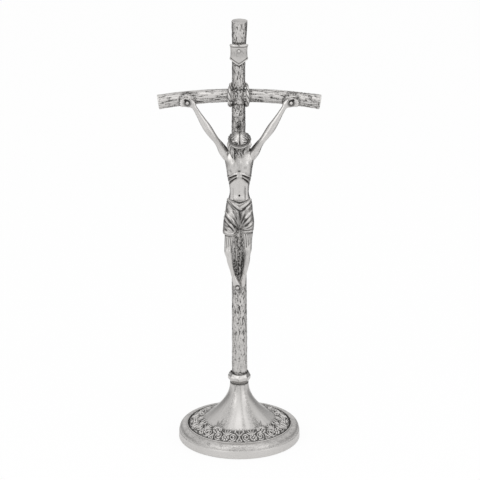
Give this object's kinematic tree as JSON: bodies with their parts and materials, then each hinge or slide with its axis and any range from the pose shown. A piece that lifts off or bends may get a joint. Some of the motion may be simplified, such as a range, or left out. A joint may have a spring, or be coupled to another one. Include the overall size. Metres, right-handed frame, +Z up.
{
  "type": "standing crucifix",
  "caption": "Standing metal crucifix for a table or altar: a drooping log cross on a flared round foot with a floral band, carrying a cast figure.",
  "frame": {"origin": "centre of the foot's underside, on the table", "axes": "+Z up along the post, the figure and the front face -Y, +X to the viewer's right"},
  "size_m": [0.0808, 0.061, 0.22],
  "materials": {
    "pewter": "antique pewter, satin, dark patina in the recesses",
    "felt": "short felt",
    "steel": "plain zinc-plated"
  },
  "bodies": {
    "root": {"base_foot": "pewter", "floral_band": "pewter", "felt_pad": "felt", "clamp_screw": "steel", "screw_washer": "steel", "base_collar": "pewter", "post": "pewter", "crossbeam": "pewter", "crossing_lashing": "pewter", "title_scroll": "pewter", "title_nail": "pewter", "corpus": "pewter", "crown_of_thorns": "pewter", "hand_nail_left": "pewter", "hand_nail_right": "pewter", "foot_nail": "pewter"}
  },
  "joints": []
}
